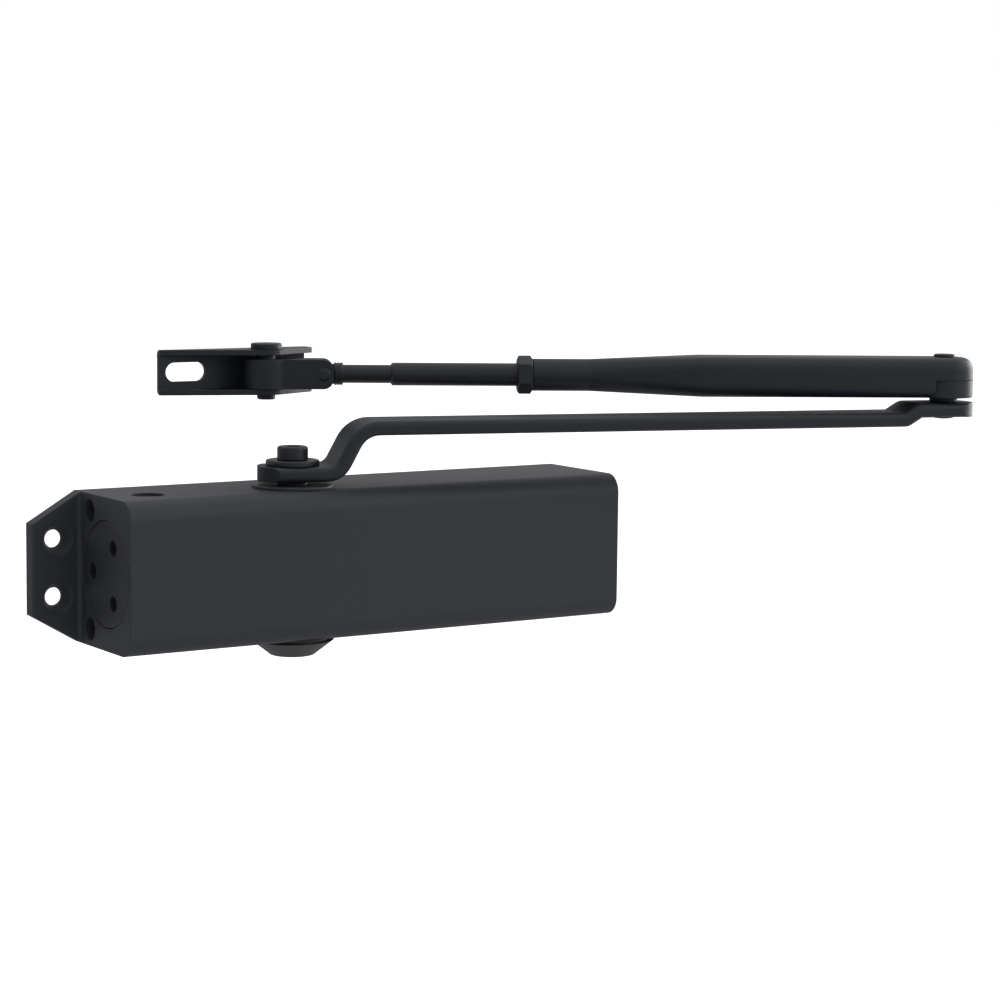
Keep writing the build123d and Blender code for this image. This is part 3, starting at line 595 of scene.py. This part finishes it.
def makeLockNut(look):
    corner = look["across"] / 2 / cos(pi / 6)
    length = look["length"]
    hole, chamfer = look["hole"], look["holeChamfer"]
    outward = [(corner - look["faceRadius"]) * part for part in (0.0, 0.35, 0.7, 1.0)]
    bevelTop = [(look["faceRadius"] + reach, reach * tan(radians(look["bevel"]))) for reach in outward]
    profile = [(hole, chamfer), (hole + chamfer, 0)] + bevelTop + upsideDown(bevelTop, length)
    profile += [(hole + chamfer, length), (hole, length - chamfer), (hole, chamfer)]
    mesh = turnProfile(profile, look["steps"])
    for vert in mesh.verts:
        angle = atan2(vert.co.y, vert.co.x)
        limit = hexReach(angle, look["across"]) * mm
        if vert.co.xy.length > limit:
            vert.co.xy = vert.co.xy.normalized() * limit
    turn = Matrix.Rotation(radians(look["turn"]), 4, "Z")
    start = nodeMiddle("lock_nut") - rodLine * length * mm / 2
    place = Matrix.Translation(start) @ forearmTurn @ layAlongX @ turn
    keepPiece("lockNutBody", mesh, "arm_coat", "lock_nut", place, ["lock_nut"])


makeLockNut(lockNutLook)


# ribs on the rod's collar

collarLook = {"radius": 4.88, "sunk": 0.3, "halfWidth": 0.42, "ribHeight": 0.3, "ribs": 3,
              "startsBefore": 8.5, "firstRib": 0.7, "ribStep": 1.3, "steps": 72}


def makeCollarRibs(look):
    # each rib is a closed bead round the collar
    start = tiltAt - rodLine * look["startsBefore"] * mm
    half, foot, top = look["halfWidth"], look["radius"] - look["sunk"], look["radius"] + look["ribHeight"]
    bead = [(foot, -half), (look["radius"], -half * 0.9), (top, -half * 0.3), (top, half * 0.3),
            (look["radius"], half * 0.9), (foot, half), (foot, -half)]
    for rib in range(look["ribs"]):
        at = start + rodLine * (look["firstRib"] + rib * look["ribStep"]) * mm
        keepPiece("collarRib%d" % (rib + 1), turnProfile(bead, look["steps"]), "black_steel", "rod",
                  Matrix.Translation(at) @ forearmTurn @ layAlongX)


makeCollarRibs(collarLook)
print("lock nut and collar ribs made")


# rivets and the shoe pin

elbowRivetLook = {"shank": 4.0, "topHead": 4.9, "bottomHead": 5.0, "headHeight": 1.4, "topGap": 0.18,
                  "dome": 0.75, "topBend": 0.7, "steps": 96}


def makeElbowRivet(look):
    height = nodeSize("elbow_rivet").z / mm
    head, shank = look["headHeight"], look["shank"]
    under = height - head + look["topGap"]
    profile = upsideDown(crown(look["bottomHead"], head - look["dome"], look["dome"]), head)
    profile += [(look["bottomHead"], head), (shank, head), (shank, under), (look["topHead"], under)]
    profile += roundedCorner(look["topHead"], height, look["topBend"]) + [(0, height)]
    mesh = turnProfile(profile, look["steps"])
    place = centredOn(elbowAt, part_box("elbow_rivet")[0][2])
    keepPiece("elbowRivetBody", mesh, "black_steel", "spindle", place, ["elbow_rivet"])


makeElbowRivet(elbowRivetLook)

shoePinLook = {"head": 6.9, "headHeight": 2.6, "headChamfer": 0.45, "dimple": 2.3, "dimpleDepth": 0.3,
               "shank": 4.1, "tailHole": 1.9, "tailHoleDepth": 1.1, "tailChamfer": 0.5, "steps": 96}


def makeShoePin(look):
    height = nodeSize("shoe_pin").z / mm
    under = height - look["headHeight"]
    profile = [(0, look["tailHoleDepth"]), (look["tailHole"] - 0.3, look["tailHoleDepth"]),
               (look["tailHole"], 0.25),
               (look["tailHole"] + 0.25, 0), (look["shank"] - look["tailChamfer"], 0),
               (look["shank"], look["tailChamfer"]), (look["shank"], under), (look["head"] - 0.2, under),
               (look["head"], under + 0.2), (look["head"], height - look["headChamfer"]),
               (look["head"] - look["headChamfer"], height), (look["dimple"] + 0.35, height),
               (look["dimple"], height - look["dimpleDepth"]), (0, height - look["dimpleDepth"] * 1.4)]
    mesh = turnProfile(profile, look["steps"])
    place = centredOn(shoeAt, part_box("shoe_pin")[0][2])
    keepPiece("shoePinBody", mesh, "black_steel", "shoe", place, ["shoe_pin"], material=finishes["arm_coat"])


makeShoePin(shoePinLook)

tiltRivetLook = {"shank": 2.6, "length": 14.2, "dome": 0.55, "collarRadius": 2.95, "collar": 0.25,
                 "steps": 64}


def makeTiltRivet(look):
    # a peened dome stands on a thin collar at each side of the fork
    domeFoot = look["length"] / 2 - look["dome"]
    end = [(look["shank"], domeFoot - look["collar"]), (look["collarRadius"], domeFoot - look["collar"])]
    end += crown(look["collarRadius"], domeFoot, look["dome"])
    profile = upsideDown(end, 0) + end
    mesh = turnProfile(profile, look["steps"])
    along = Vector(joints["rod_end_tilt"]["axis"]).to_track_quat("Z", "Y").to_matrix().to_4x4()
    keepPiece("tiltRivetBody", mesh, "black_steel", "rod_end", Matrix.Translation(tiltAt) @ along,
              ["tilt_rivet"], material=turnedMetal("rivetBlackSteel", rivetSteelLook, tuple(tiltAt)))


makeTiltRivet(tiltRivetLook)
print("rivets and shoe pin made")


# floor, light and camera

studio = {"floorDrop": 0.30, "floorSize": 12.0, "floorColour": (0.52, 0.52, 0.53), "floorGlow": 1.0}


def makeFloor(look):
    mesh = bmesh.new()
    bmesh.ops.create_grid(mesh, x_segments=8, y_segments=8, size=look["floorSize"] / 2)
    bmesh.ops.translate(mesh, verts=mesh.verts, vec=(0, 0, cadBox[0][2] - look["floorDrop"]))
    data = bpy.data.meshes.new("studioFloor")
    mesh.to_mesh(data)
    mesh.free()
    floor = bpy.data.objects.new("studioFloor", data)
    bpy.context.scene.collection.objects.link(floor)
    material, tree, shader = freshMaterial("palePaperFloor")
    shader.inputs["Base Color"].default_value = (*look["floorColour"], 1)
    shader.inputs["Roughness"].default_value = 0.9
    shader.inputs["Emission Color"].default_value = (1, 1, 1, 1)
    path = addNode(tree, "ShaderNodeLightPath", (-400, 0))
    link(tree, (scaled(tree, (-200, 0), path.outputs["Is Camera Ray"], look["floorGlow"]),
                shader.inputs["Emission Strength"]))
    data.materials.append(material)


skyLook = {"brightToward": (0.40, 0.05, 0.91), "dim": 0.0, "bright": 0.95}


def makeSky(look):
    # soft white studio: brightest above and to the right, plain white behind
    world = bpy.data.worlds.new("softStudio")
    bpy.context.scene.world = world
    world.use_nodes = True
    tree = world.node_tree
    tree.nodes.clear()
    out = addNode(tree, "ShaderNodeOutputWorld", (600, 0))
    direction = addNode(tree, "ShaderNodeTexCoord", (-800, 0))
    toward = addNode(tree, "ShaderNodeVectorMath", (-600, 0), operation="DOT_PRODUCT")
    toward.inputs[1].default_value = look["brightToward"]
    level = addNode(tree, "ShaderNodeMapRange", (-400, 0))
    level.inputs["From Min"].default_value, level.inputs["From Max"].default_value = -1.0, 1.0
    level.inputs["To Min"].default_value = look["dim"]
    level.inputs["To Max"].default_value = look["bright"]
    lit = addNode(tree, "ShaderNodeBackground", (0, -100))
    plain = addNode(tree, "ShaderNodeBackground", (0, 100), Color=(1, 1, 1, 1))
    path = addNode(tree, "ShaderNodeLightPath", (0, 400))
    pick = addNode(tree, "ShaderNodeMixShader", (300, 0))
    link(tree, (direction.outputs["Generated"], toward.inputs[0]),
         (toward.outputs["Value"], level.inputs["Value"]), (level.outputs["Result"], lit.inputs["Strength"]),
         (path.outputs["Is Camera Ray"], pick.inputs[0]), (lit.outputs[0], pick.inputs[1]),
         (plain.outputs[0], pick.inputs[2]), (pick.outputs[0], out.inputs["Surface"]))


def addSoftbox(name, at, aim, size, power):
    light = bpy.data.lights.new(name, "AREA")
    light.shape, light.size, light.energy = "DISK", size, power
    lamp = bpy.data.objects.new(name, light)
    lamp.location = at
    lamp.rotation_euler = (Vector(aim) - Vector(at)).to_track_quat("-Z", "Y").to_euler()
    lamp.visible_camera = False
    bpy.context.scene.collection.objects.link(lamp)


makeFloor(studio)
makeSky(skyLook)
addSoftbox("rightSoftbox", at=(1.65, 0.08, 0.30), aim=tuple(elbowAt), size=1.0, power=15)
addSoftbox("frontSoftbox", at=(1.5, -2.0, 0.9), aim=(0, 0, 0.02), size=1.6, power=6)

cameraSet = {"at": (-0.5971, -1.0603, 0.1620), "lens": 99.27, "yaw": 33.036, "down": 6.567, "roll": 0.653}


def makeCamera(look):
    yaw, down, roll = radians(look["yaw"]), radians(look["down"]), radians(look["roll"])
    ahead = Vector((sin(yaw) * cos(down), cos(yaw) * cos(down), -sin(down)))
    level = Vector((cos(yaw), -sin(yaw), 0))
    upright = level.cross(ahead)
    right = level * cos(roll) + upright * sin(roll)
    top = upright * cos(roll) - level * sin(roll)
    data = bpy.data.cameras.new("studioCamera")
    data.lens, data.sensor_width, data.clip_start = look["lens"], 36.0, 0.05
    camera = bpy.data.objects.new("studioCamera", data)
    turn = Matrix((right, top, -ahead)).transposed().to_4x4()
    camera.matrix_world = Matrix.Translation(look["at"]) @ turn
    bpy.context.scene.collection.objects.link(camera)
    bpy.context.scene.camera = camera


makeCamera(cameraSet)
bpy.context.scene.view_settings.view_transform = "Standard"
print("floor, light and camera placed")
